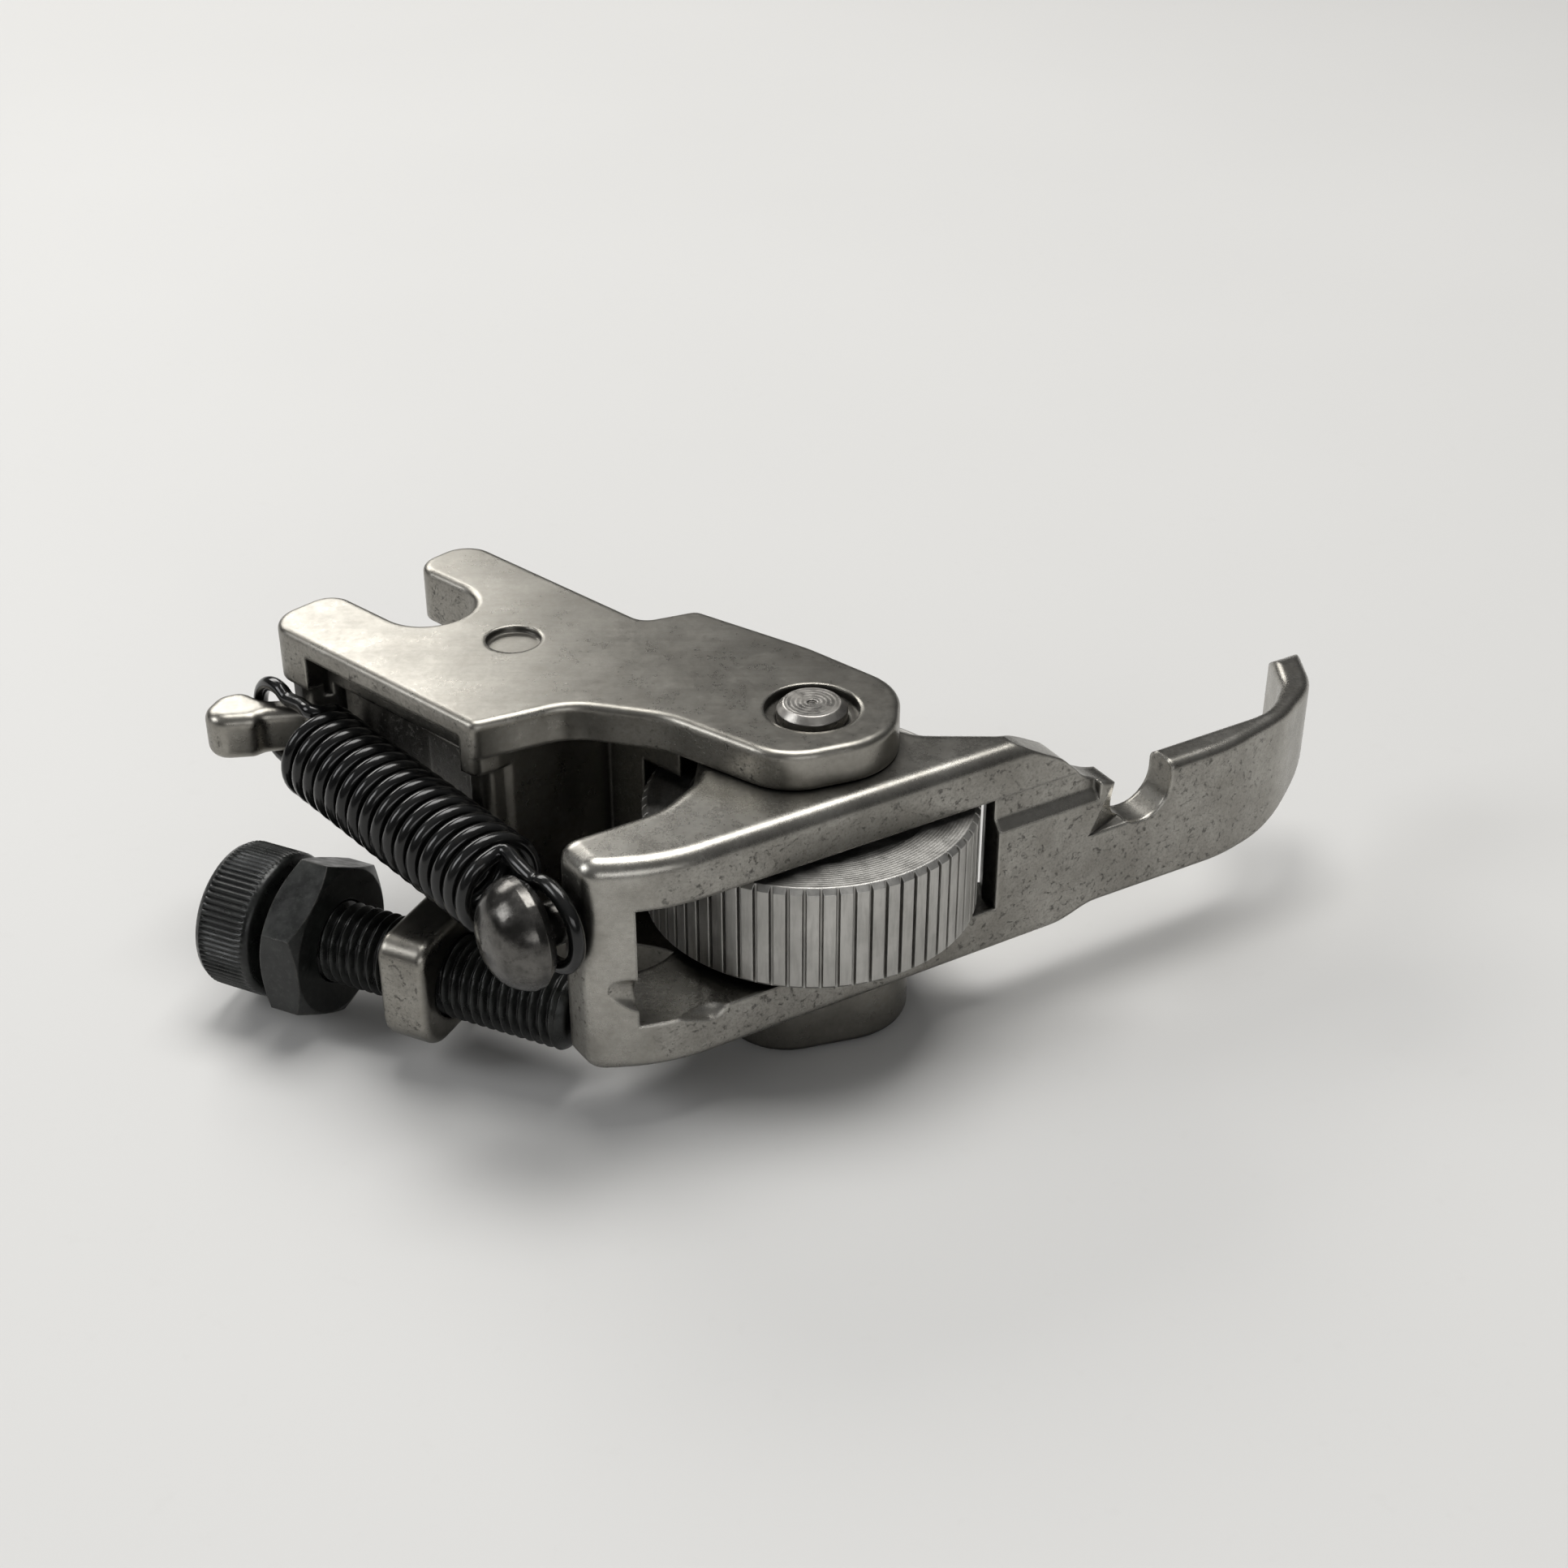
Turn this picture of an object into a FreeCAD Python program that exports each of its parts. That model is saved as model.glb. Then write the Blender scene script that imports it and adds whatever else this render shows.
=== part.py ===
import FreeCAD, Part
import math
import os
import Sketcher
from FreeCAD import Vector, Rotation, Placement

# Hinged, spring-loaded roller presser foot.
# Frame: millimetres, +Z along the hinge pin, origin on the pin axis at mid width.
# The foot lies on its side: the sole runs along +X/+Y, the holder runs up and away
# to -X/+Y, and the underside of the lower ear rests on the bench.
# Holder, foot and screw each have a frame turned about Z: u along it, v to its left.
# "Upper" and "lower" mean towards +Z and -Z.

# ---------------------------------------------------------------- driving dimensions
# Suffixes: _d diameter, _r radius, _u and _v places along and across a turned frame.
DIMS = {
    # directions of the turned frames, degrees
    "shank_angle": -42.0, "foot_angle": 31.0, "screw_angle": -25.0,
    # holder: ear levels, fork plate, slot, block
    "ear_top": 7.25, "ear_in": 5.45, "ear_bottom": 8.35, "ear_radius": 4.3,
    "lower_ear_extra": 1.0, "fork_under": 4.55, "fork_rear": 11.15, "fork_front": 1.15,
    "slot_near": 6.95, "slot_far": 2.55, "slot_end": 18.2,
    "near_tip": 24.9, "far_tip": 24.15, "block_up": 15.6, "block_down": 9.8,
    # holder: bar lip, thinned rim, column, web, dimple, edge rounding
    "lip_inner": 8.45, "lip_outer": 9.35, "lip_low": 1.4,
    "rim_under": 6.3, "rim_overcut": 0.6, "column_low": 7.6, "column_height": 14.6,
    "web_lap": 0.15, "mark_d": 2.6, "mark_depth": 0.3, "mark_u": -14.6, "mark_v": -4.5,
    "ear_round": 0.35,
    # horn: its origin in the holder frame, its own direction, its levels
    "horn_u": -22.6, "horn_v": -9.75, "horn_angle": 187.0,
    "horn_low": 0.7, "horn_high": 3.1, "horn_round": 0.55, "horn_root_step": 0.25,
    # lug for the adjusting screw
    "lug_start": -15.15, "lug_thickness": 2.4, "lug_bore_d": 4.0, "lug_round": 0.35,
    # hinge pin
    "pin_d": 3.2, "pin_top": 7.55, "pin_low": 8.3, "pin_chamfer": 0.3,
    "csk_d": 4.3, "csk_depth": 0.5, "ear_bore": 3.22,
    "centre_mark_r": 0.22, "centre_mark_depth": 0.08,
    # foot: cheeks and room for the roller
    "foot_half": 5.35, "foot_bore": 3.3, "sole_out": 5.1,
    "cheek_round_upper": 0.85, "cheek_round_lower": 0.45,
    "window_half": 3.0, "wheel_room": 8.15, "window_heel": -11.4, "window_toe": 6.9,
    "ledge_start": 6.3, "ledge_length": 6.3,
    # foot: toe, tip, needle notch, thread relief
    "toe_top": 1.7, "toe_low": -4.7, "toe_edge": 0.5, "toe_inset": 0.1,
    "tip_start": 26.0, "tip_length": 8.0,
    "notch_x": 15.2, "notch_z": 0.8, "notch_r": 1.7, "notch_bar": 24.0,
    "relief_low_z": -0.75, "relief_high_z": 2.1, "scoop_r": 1.0,
    # heel spring post and its seat, in the foot frame
    "post_u": -13.45, "post_v": -2.25, "post_dome_d": 5.0, "post_slack": 0.005,
    "post_hole": 2.0, "seat_u": -13.6, "seat_depth": 1.9,
    # roller
    "wheel_r": 7.7, "wheel_half": 2.65, "wheel_bore": 3.28, "wheel_teeth": 66,
    "groove_w": 0.18, "groove_depth": 0.22, "wheel_chamfer": 0.25,
    "recess_r": 5.6, "recess_hub_r": 2.6, "recess_deep": 0.15,
    # spring: coil, hooks, and where the hooks sit on the horn and on the post neck
    "spring_z": 2.1, "spring_wire": 0.72, "spring_mean_r": 1.98, "spring_pitch": 0.97,
    "spring_turns": 16, "hook_r": 1.95, "horn_seat": 2.15, "neck_seat": 0.85,
    # adjusting screw, its axis at screw_v and screw_z in the screw frame
    "screw_z": -4.4, "screw_v": -10.47, "screw_thread_d": 3.86,
    "screw_head_d": 7.0, "screw_head_l": 3.1, "screw_head_u": -25.05, "screw_tip_u": -6.41,
    "socket_af": 3.0, "socket_depth": 2.0, "screw_chamfer": 0.4,
    # lock nut
    "nut_af": 7.0, "nut_thick": 2.1, "nut_u": -21.2, "nut_bore_d": 4.0, "nut_turn": 30.0,
    "nut_flat_r": 3.45, "nut_blank_r": 4.3, "nut_chamfer_rise": 0.49,
    # full lengths of cuts that pass right through
    "bore_cut": 40.0, "relief_cut": 60.0, "lug_cut": 80.0, "nut_cut": 30.0,
}
Z_AXIS = Vector(0, 0, 1)

doc = FreeCAD.newDocument("roller_presser_foot")
sheet = doc.addObject("Spreadsheet::Sheet", "Dims")
for row, (alias, value) in enumerate(DIMS.items(), 1):
    sheet.set("A%d" % row, alias)
    sheet.set("B%d" % row, str(value))
    sheet.setAlias("B%d" % row, alias)
doc.recompute()


def dim(alias):
    return float(sheet.get(alias))


# ---------------------------------------------------------------- frames and bodies
def direction(angle):
    return Vector(math.cos(math.radians(angle)), math.sin(math.radians(angle)), 0)


def to_world(angle, u, v, z=0.0):
    """World point of (u, v, z) in a frame turned by `angle` degrees about Z."""
    a = math.radians(angle)
    return Vector(u * math.cos(a) - v * math.sin(a), u * math.sin(a) + v * math.cos(a), z)


def turned(alias):
    return Placement(Vector(0, 0, 0), Rotation(Z_AXIS, dim(alias)))


def make_body(name, placement=None):
    body = doc.addObject("PartDesign::Body", name)
    if placement:
        body.Placement = placement
    doc.recompute()
    return body


# ---------------------------------------------------------------- sketches
def make_sketch(body, name, role="XY_Plane", offset=None):
    """Empty sketch on an origin plane, moved along its normal by an expression."""
    plane = next(item for item in body.Origin.OriginFeatures if item.Role == role)
    sketch = body.newObject("Sketcher::SketchObject", name)
    sketch.AttachmentSupport = [(plane, "")]
    sketch.MapMode = "FlatFace"
    if offset is not None:
        sketch.setExpression("AttachmentOffset.Base.z", offset)
    return sketch


def outline_geometry(outline):
    """Closed outline as straight lines and tangent corner arcs.

    Each corner is (x, y, corner radius); a corner without a radius is sharp."""
    count = len(outline)
    corners = [Vector(entry[0], entry[1], 0) for entry in outline]
    trims = []
    for i, entry in enumerate(outline):
        corner = corners[i]
        radius = entry[2] if len(entry) > 2 else 0.0
        if radius <= 0:
            trims.append((corner, None, corner))
            continue
        back = (corners[i - 1] - corner).normalize()
        ahead = (corners[(i + 1) % count] - corner).normalize()
        half = math.acos(max(-1, min(1, back.dot(ahead)))) / 2.0
        trim = radius / math.tan(half)
        centre = corner + (back + ahead).normalize() * (radius / math.sin(half))
        middle = centre + (corner - centre).normalize() * radius
        trims.append((corner + back * trim, middle, corner + ahead * trim))
    geometry = []
    for i, (start, middle, end) in enumerate(trims):
        if middle is not None:
            geometry.append(Part.Arc(start, middle, end))
        following = trims[(i + 1) % count][0]
        if (following - end).Length > 1e-6:
            geometry.append(Part.LineSegment(end, following))
    return geometry


def nearest_ends(sketch, one, other):
    """End numbers (1 or 2) at which two sketch curves come closest."""
    pairs = [(a, b) for a in (1, 2) for b in (1, 2)]
    return min(pairs, key=lambda pair: (
        sketch.getPoint(one, pair[0]) - sketch.getPoint(other, pair[1])).Length)


def draw(sketch, outline):
    geometry = outline_geometry(outline)
    first = sketch.GeometryCount
    for curve in geometry:
        sketch.addGeometry(curve, False)
    count = len(geometry)
    for i in range(count):
        one = first + i
        other = first + (i + 1) % count
        end, start = nearest_ends(sketch, one, other)
        sketch.addConstraint(Sketcher.Constraint("Coincident", one, end, other, start))
    for i in range(count):
        sketch.addConstraint(Sketcher.Constraint("Block", first + i))


def outline_sketch(body, name, outline, role="XY_Plane", offset=None):
    sketch = make_sketch(body, name, role, offset)
    draw(sketch, outline)
    return sketch


def add_circle(sketch, radius, x=0.0, y=0.0):
    """Circle whose radius is an expression; a zero coordinate pins it to the axis."""
    index = sketch.addGeometry(Part.Circle(Vector(x, y, 0), Z_AXIS, 1.0), False)
    for kind, value, axis in (("DistanceX", x, -2), ("DistanceY", y, -1)):
        if abs(value) > 1e-9:
            constraint = Sketcher.Constraint(kind, -1, 1, index, 3, value)
        else:
            constraint = Sketcher.Constraint("PointOnObject", index, 3, axis)
        sketch.addConstraint(constraint)
    number = sketch.addConstraint(Sketcher.Constraint("Radius", index, 1.0))
    sketch.setExpression("Constraints[%d]" % number, radius)


def circle_sketch(body, name, radii, offset=None):
    """Circles about the body's Z axis."""
    sketch = make_sketch(body, name, "XY_Plane", offset)
    for radius in radii:
        add_circle(sketch, radius)
    return sketch


def screw_sketch(body, name, offset=None):
    """Sketch square to the screw axis, with its origin on that axis."""
    sketch = make_sketch(body, name, "YZ_Plane", offset)
    sketch.setExpression("AttachmentOffset.Base.x", "Dims.screw_v")
    sketch.setExpression("AttachmentOffset.Base.y", "Dims.screw_z")
    return sketch


def hexagon(across_flats, turn=0.0):
    radius = across_flats / math.sqrt(3.0)
    angles = [math.radians(60 * k + turn) for k in range(6)]
    return [(radius * math.cos(a), radius * math.sin(a)) for a in angles]


# ---------------------------------------------------------------- features
def pad(body, sketch, name, length, mid=False):
    feature = body.newObject("PartDesign::Pad", name)
    feature.Profile = sketch
    feature.setExpression("Length", length)
    feature.Midplane = mid
    sketch.Visibility = False
    doc.recompute()


def pocket(body, sketch, name, length, mid=False, rev=False):
    """Cut against the sketch normal, or along it with `rev`; it must remove material."""
    before = body.Shape.Volume
    feature = body.newObject("PartDesign::Pocket", name)
    feature.Profile = sketch
    feature.setExpression("Length", length)
    feature.Midplane = mid
    feature.Reversed = rev
    sketch.Visibility = False
    doc.recompute()
    if not body.Shape.Volume < before - 1e-4:
        raise RuntimeError("pocket %s removed nothing" % name)
    return feature


def turn(body, name, sketch):
    """Full revolution of a sketch about its vertical axis."""
    feature = body.newObject("PartDesign::Revolution", name)
    feature.Profile = sketch
    feature.ReferenceAxis = (sketch, ["V_Axis"])
    feature.Angle = 360
    sketch.Visibility = False
    doc.recompute()


def edge_names(shape, test):
    return ["Edge%d" % number for number, edge in enumerate(shape.Edges, 1) if test(edge)]


def chamfer(body, name, size, names):
    base = body.Tip
    feature = body.newObject("PartDesign::Chamfer", name)
    feature.Base = (base, names)
    feature.setExpression("Size", size)
    doc.recompute()


def round_edges(body, name, test, radius):
    base = body.Tip
    names = edge_names(base.Shape, test)
    if not names:
        raise RuntimeError("no edges for " + name)
    feature = body.newObject("PartDesign::Fillet", name)
    feature.Base = (base, names)
    feature.setExpression("Radius", radius)
    doc.recompute()
    # Guards against a fillet the kernel cannot build: the body goes on without it.
    if feature.Shape.isNull() or not feature.Shape.isValid() or "Invalid" in feature.State:
        body.removeObject(feature)
        doc.removeObject(feature.Name)
        body.Tip = base
        doc.recompute()


def is_ring(edge):
    return len(edge.Vertexes) == 1


def is_across(edge):
    """The edge lies in a plane square to the body's X axis."""
    return edge.BoundBox.XLength < 1e-4


def on_level(z, skip):
    """Edge test: lies flat at height z and isn't one that `skip` picks."""
    def test(edge):
        box = edge.BoundBox
        flat = abs(box.ZMin - z) <= 1e-4 and abs(box.ZMax - z) <= 1e-4
        return flat and not skip(edge)
    return test


# ================================================================= holder
def ear_end(reach):
    """Rounded end and neck shared by the outlines of both ears."""
    return [
        (-3.9, 4.25, 8.0), (1.6, reach, 3.2), (reach + 0.15, 0.6, 3.4),
        (2.0, -reach + 0.15, 3.0), (-4.4, -4.85, 4.0), (-8.3, -6.9, 3.0)]


def fork_prongs():
    """Two prongs with the round-ended slot between them."""
    near_tip, far_tip, slot_end = dim("near_tip"), dim("far_tip"), dim("slot_end")
    near, far = -dim("slot_near"), -dim("slot_far")
    rear = -dim("fork_rear")
    # just under half the slot width, so that a short flat stays between the arcs
    slot_radius = (far - near) / 2.0 - 0.005
    return [
        (-dim("block_down") - 0.25, rear, 0.5), (-near_tip, rear, 1.7),
        (-near_tip + 0.1, near, 1.3), (-slot_end, near, slot_radius),
        (-slot_end, far, slot_radius), (-far_tip, far, 1.3),
        (-far_tip, dim("fork_front"), 1.6)]


def add_ears_and_fork(shank):
    reach = dim("ear_radius")
    block_up, block_down = dim("block_up"), dim("block_down")

    top = outline_sketch(
        shank, "top_outline",
        ear_end(reach) + [(-9.25, -9.3, 1.0)] + fork_prongs()
        + [(-11.55, 0.95, 0.9), (-10.35, 3.4, 0.7)],
        offset="Dims.ear_in")
    pad(shank, top, "top_plate", "Dims.ear_top - Dims.ear_in")

    under = outline_sketch(
        shank, "fork_outline",
        fork_prongs() + [(-block_down, 0.95, 0.3), (-block_down, -9.9, 0.3)],
        offset="Dims.fork_under")
    pad(shank, under, "fork_thickness", "Dims.ear_in - Dims.fork_under")

    block = outline_sketch(shank, "block_outline", [
        (-block_up, -dim("lip_outer"), 0.4), (-block_down - 0.35, -10.0, 0.5),
        (-block_down, -9.2, 0.4), (-block_down, 0.75, 0.5), (-block_up, 0.75, 0.5)],
        offset="-Dims.ear_bottom")
    pad(shank, block, "block", "Dims.ear_bottom + Dims.fork_under")

    lower = outline_sketch(
        shank, "lower_ear_outline",
        ear_end(reach + dim("lower_ear_extra")) + [
            (-9.2, -9.5, 0.5), (-12.6, -9.5), (-12.6, -0.2), (-11.68, -0.2),
            (-10.3, 3.2, 0.7)],
        offset="-Dims.ear_bottom")
    pad(shank, lower, "lower_ear", "Dims.ear_bottom - Dims.ear_in")


def add_shank_details(shank):
    inner, outer = -dim("lip_inner"), -dim("lip_outer")
    lip = outline_sketch(shank, "bar_lip_outline", [
        (-22.6, outer), (-14.6, outer), (-14.6, inner), (-22.6, inner)],
        offset="Dims.lip_low")
    pad(shank, lip, "bar_lip", "Dims.ear_in - Dims.lip_low")

    root = outline_sketch(shank, "horn_root_outline", [
        (-24.3, -10.3, 0.5), (-22.4, -11.0, 0.6), (-21.4, -9.6, 0.5),
        (-21.4, inner + 0.1), (-24.3, inner + 0.1, 0.3)],
        offset="Dims.horn_low + Dims.horn_root_step")
    pad(shank, root, "horn_root", "Dims.ear_in - Dims.horn_low - Dims.horn_root_step")

    # the near rim of the fork plate is thinner between its prong and the block
    rim = outline_sketch(shank, "rim_recess", [
        (-21.85, -12.5), (-11.0, -12.5), (-11.0, -9.9, 0.6), (-21.85, -9.9)],
        offset="Dims.rim_under")
    pocket(shank, rim, "rim_thinning",
           "Dims.rim_under - Dims.fork_under + Dims.rim_overcut")

    # corner column under the plate, and the wall that closes the ear cavity
    column = outline_sketch(shank, "column_outline", [
        (-11.3, -9.0), (-11.3, -10.7, 0.5), (-9.95, -10.7, 0.6), (-9.95, -9.0)],
        offset="-Dims.column_low")
    pad(shank, column, "corner_column", "Dims.column_height")
    web = outline_sketch(shank, "web_outline", [
        (-10.4, -3.2), (-5.15, -3.2), (-5.15, 3.3), (-10.4, 3.3)],
        offset="-Dims.ear_in - Dims.web_lap")
    pad(shank, web, "web", "2 * (Dims.ear_in + Dims.web_lap)")

    clearance = circle_sketch(shank, "roller_clearance", ["Dims.wheel_room"])
    pocket(shank, clearance, "roller_clearance_cut", "2 * Dims.window_half", mid=True)


def add_shank_holes(shank):
    hole = circle_sketch(shank, "pin_hole", ["Dims.ear_bore / 2"])
    pocket(shank, hole, "pin_bore", "Dims.bore_cut", mid=True)
    # flat-bottomed recess round the pin's upper end
    countersink = circle_sketch(shank, "countersink", ["Dims.csk_d / 2"], "Dims.ear_top")
    pocket(shank, countersink, "pin_countersink", "Dims.csk_depth")
    # plain round dimple on the fork face
    mark = make_sketch(shank, "dimple", "XY_Plane", "Dims.ear_top")
    add_circle(mark, "Dims.mark_d / 2", dim("mark_u"), dim("mark_v"))
    pocket(shank, mark, "plain_dimple", "Dims.mark_depth")


def build_shank():
    shank = make_body("shank_core", turned("shank_angle"))
    add_ears_and_fork(shank)
    add_shank_details(shank)
    add_shank_holes(shank)
    # round the long edges of the two outer faces
    round_edges(shank, "top_rounding", on_level(dim("ear_top"), is_ring), "Dims.ear_round")
    round_edges(shank, "bottom_rounding", on_level(-dim("ear_bottom"), is_ring),
                "Dims.ear_round")
    return shank


def horn_point(z):
    return to_world(dim("shank_angle"), dim("horn_u"), dim("horn_v"), z)


def build_horn():
    """Flat bar with a hooked end that keeps the spring's upper hook."""
    horn = make_body("horn", Placement(horn_point(0.0), Rotation(Z_AXIS, dim("horn_angle"))))
    bar = outline_sketch(horn, "horn_outline", [
        (-0.5, -0.7), (2.9, -0.7, 0.8), (4.0, -1.75, 0.9), (5.2, -1.35, 1.0),
        (5.85, 0.0, 1.2), (5.3, 1.15, 1.0), (3.4, 1.15, 0.7), (2.9, 0.75, 0.7),
        (-0.5, 0.75)],
        offset="Dims.horn_low")
    pad(horn, bar, "horn_bar", "Dims.horn_high - Dims.horn_low")
    # all edges of both faces but the straight one at the root
    for name, level in (("horn_upper_round", "horn_high"), ("horn_lower_round", "horn_low")):
        round_edges(horn, name, on_level(dim(level), is_across), "Dims.horn_round")
    return horn


def build_lug():
    """Lug that carries the adjusting screw, square to the screw axis."""
    lug = make_body("screw_lug", turned("screw_angle"))
    # (v, z, corner radius)
    plate = outline_sketch(lug, "lug_outline", [
        (-13.4, -7.1, 1.6), (-13.4, -1.4, 1.0), (-6.0, -1.4), (-6.0, -7.1)],
        "YZ_Plane", "Dims.lug_start")
    pad(lug, plate, "lug", "Dims.lug_thickness")
    bore = screw_sketch(lug, "lug_bore")
    add_circle(bore, "Dims.lug_bore_d / 2")
    pocket(lug, bore, "lug_thread_bore", "Dims.lug_cut", mid=True)
    round_edges(
        lug, "lug_rounding",
        lambda edge: is_across(edge) and not is_ring(edge) and edge.BoundBox.YMin < -6.1,
        "Dims.lug_round")
    return lug


def build_holder():
    parts = [build_shank(), build_horn(), build_lug()]
    holder = doc.addObject("Part::MultiFuse", "shank_holder")
    holder.Shapes = parts
    holder.Refine = True
    doc.recompute()
    return holder


# ================================================================= foot
def cut_lower_relief(body, tag):
    """Trim the lower side along the sole; outline in (u, z, corner radius)."""
    low = dim("toe_low")
    sketch = outline_sketch(body, tag + "_lower_cut", [
        (9.2, -5.6), (12.4, low + 0.15, 3.0), (23.2, low, 5.0), (26.8, low + 1.3, 2.5),
        (29.6, low + 4.0), (30.5, -7.0), (9.2, -7.0)], "XZ_Plane")
    pocket(body, sketch, tag + "_lower_relief", "Dims.relief_cut", mid=True)


def build_cheeks():
    """Full-width part of the foot with the two cheeks either side of the roller."""
    foot = make_body("foot_core", turned("foot_angle"))
    sole, half, toe_top = dim("sole_out"), dim("foot_half"), dim("toe_top")
    side = outline_sketch(foot, "cheek_profile", [
        (-13.3, -3.6, 1.0), (-13.45, -1.0, 0.95), (-8.4, -0.9, 3.0), (-5.9, 0.4, 1.5),
        (-3.4, 4.0, 3.4), (2.9, 4.2, 3.4), (4.7, -1.2, 2.0), (8.2, -3.35, 2.0),
        (14.0, -3.37), (14.0, -sole), (-10.4, -sole, 9.0)])
    pad(foot, side, "full_width", "2 * Dims.foot_half", mid=True)

    # rounded outer edges of the two cheeks, leaving the end that meets the toe
    def ring_or_toe_end(edge):
        return is_ring(edge) or edge.BoundBox.XMin > 13.9

    round_edges(foot, "upper_round", on_level(half, ring_or_toe_end),
                "Dims.cheek_round_upper")
    round_edges(foot, "lower_round", on_level(-half, ring_or_toe_end),
                "Dims.cheek_round_lower")

    # the upper side narrows to the toe; outline in (u, z, corner radius)
    upper = outline_sketch(foot, "toe_upper_cut", [
        (6.9, 5.75), (8.3, 5.1, 2.0), (10.3, 4.0, 2.0), (11.9, 2.35, 2.0),
        (13.3, toe_top, 3.0), (31.0, toe_top), (31.0, 7.0), (6.9, 7.0)], "XZ_Plane")
    pocket(foot, upper, "toe_upper_relief", "Dims.relief_cut", mid=True)
    cut_lower_relief(foot, "cheek")

    # room for the roller between the two cheeks, open through the sole
    heel, toe, room_end = dim("window_heel"), dim("window_toe"), dim("wheel_room")
    room = outline_sketch(foot, "roller_room", [
        (heel, -sole - 3.0), (toe, -sole - 3.0), (toe, -4.0), (room_end, -1.9, 0.6),
        (room_end, 6.0), (-9.5, 6.0), (heel, -2.3, 1.2)])
    pocket(foot, room, "roller_slot", "2 * Dims.window_half", mid=True)

    bore = circle_sketch(foot, "hinge_bore", ["Dims.foot_bore / 2"])
    pocket(foot, bore, "hinge_hole", "Dims.bore_cut", mid=True)

    # ledge between the upper cheek and the sole face; (v, z, corner radius)
    ledge = outline_sketch(foot, "ledge_outline", [
        (-5.6, 1.1), (-5.1, 1.1), (-4.65, 1.65, 0.3), (-4.65, 3.0), (-5.6, 3.0)],
        "YZ_Plane", "Dims.ledge_start")
    pocket(foot, ledge, "ledge", "Dims.ledge_length", rev=True)
    return foot


def build_toe():
    """Thin toe blade with its upturned tip."""
    toe = make_body("toe_core", turned("foot_angle"))
    sole, top = dim("sole_out"), dim("toe_top")
    blade = outline_sketch(toe, "toe_profile", [
        (13.9, -3.365), (24.3, -3.4, 4.0), (26.6, -1.6, 3.0), (28.3, 1.35, 0.78),
        (29.9, 0.9, 0.75), (28.0, -2.4, 4.0), (24.8, -4.15, 7.0), (20.5, -sole, 10.0),
        (13.9, -sole)],
        offset="Dims.toe_inset - Dims.foot_half")
    pad(toe, blade, "toe_blade", "Dims.foot_half + Dims.toe_top - Dims.toe_inset")
    round_edges(toe, "toe_round", on_level(top, lambda edge: edge.BoundBox.XMax < 13.95),
                "Dims.toe_edge")
    cut_lower_relief(toe, "toe")

    # rounded upper corner of the upturned tip; (v, z, corner radius)
    corner = outline_sketch(toe, "tip_corner", [
        (-1.5, top + 1.2), (-1.5, top), (1.25, top, 1.6), (1.25, top - 2.6),
        (3.0, top - 2.6), (3.0, top + 1.2)],
        "YZ_Plane", "Dims.tip_start")
    pocket(toe, corner, "tip_round", "Dims.tip_length", rev=True)
    return toe


def build_post_seat_tool():
    """Cylinder that cuts the heel hole for the spring post, along the foot."""
    seat = doc.addObject("Part::Cylinder", "post_seat_tool")
    seat.setExpression("Radius", "Dims.post_hole / 2")
    seat.setExpression("Height", "Dims.seat_depth")
    angle = dim("foot_angle")
    start = to_world(angle, dim("seat_u"), dim("post_v"), dim("spring_z"))
    seat.Placement = Placement(start, Rotation(Z_AXIS, direction(angle)))
    return seat


def build_scoop_tool():
    """Round-ended bar that scoops the run-out of the window at the heel."""
    angle, radius = dim("foot_angle"), dim("scoop_r")
    start = to_world(angle, -12.55, -4.95, -1.0)
    end = to_world(angle, -8.2, -5.45, -2.55)
    span = end - start
    far_end = span.Length + radius
    scoop = make_body("scoop_tool", Placement(start, Rotation(Z_AXIS, span.normalize())))
    # (distance from the axis, place along it, corner radius)
    profile = outline_sketch(scoop, "scoop_profile", [
        (0, -radius), (radius, -radius, radius), (radius, far_end, radius),
        (0, far_end)], "XZ_Plane")
    turn(scoop, "scoop_turn", profile)
    return scoop


def build_notch_tool():
    """Bar that cuts the round-bottomed needle notch through the toe."""
    notch = make_body("notch_tool", turned("foot_angle"))
    x, z, radius = dim("notch_x"), dim("notch_z"), dim("notch_r")
    # corner arcs a little short of the full radius, so that a flat stays between them
    arc = radius * 0.98
    section = outline_sketch(notch, "needle_notch", [
        (x - radius, z - radius, arc), (x + radius, z - radius, arc),
        (x + radius, 4.0), (x - radius, 4.0)], "XZ_Plane")
    pad(notch, section, "needle_notch_bar", "Dims.notch_bar", mid=True)
    return notch


def build_relief_tool():
    """Sloping thread relief on the sole face beside the notch."""
    relief = make_body("relief_tool", turned("foot_angle"))
    sole = dim("sole_out")
    # each level: name, start along the sole, height at the 14.4 end
    sections = []
    for name, start, rise in (("relief_low", 11.9, 0.85), ("relief_high", 13.35, 0.45)):
        sections.append(outline_sketch(relief, name, [
            (start, -sole - 0.05), (14.4, -sole - 0.05), (14.4, -sole + rise)],
            offset="Dims.%s_z" % name))
    loft = relief.newObject("PartDesign::AdditiveLoft", "thread_relief")
    loft.Profile = sections[0]
    loft.Sections = [sections[1]]
    loft.Ruled = True
    doc.recompute()
    for sketch in sections:
        sketch.Visibility = False
    return relief


def build_foot():
    cheeks = build_cheeks()
    toe = build_toe()
    tools = [build_post_seat_tool(), build_scoop_tool(), build_notch_tool(),
             build_relief_tool()]
    all_tools = doc.addObject("Part::MultiFuse", "foot_tools")
    all_tools.Shapes = tools
    blank = doc.addObject("Part::Fuse", "foot_blank")
    blank.Base = cheeks
    blank.Tool = toe
    sole = doc.addObject("Part::Cut", "foot_sole")
    sole.Base = blank
    sole.Tool = all_tools
    sole.Refine = True
    doc.recompute()
    return sole


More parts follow.
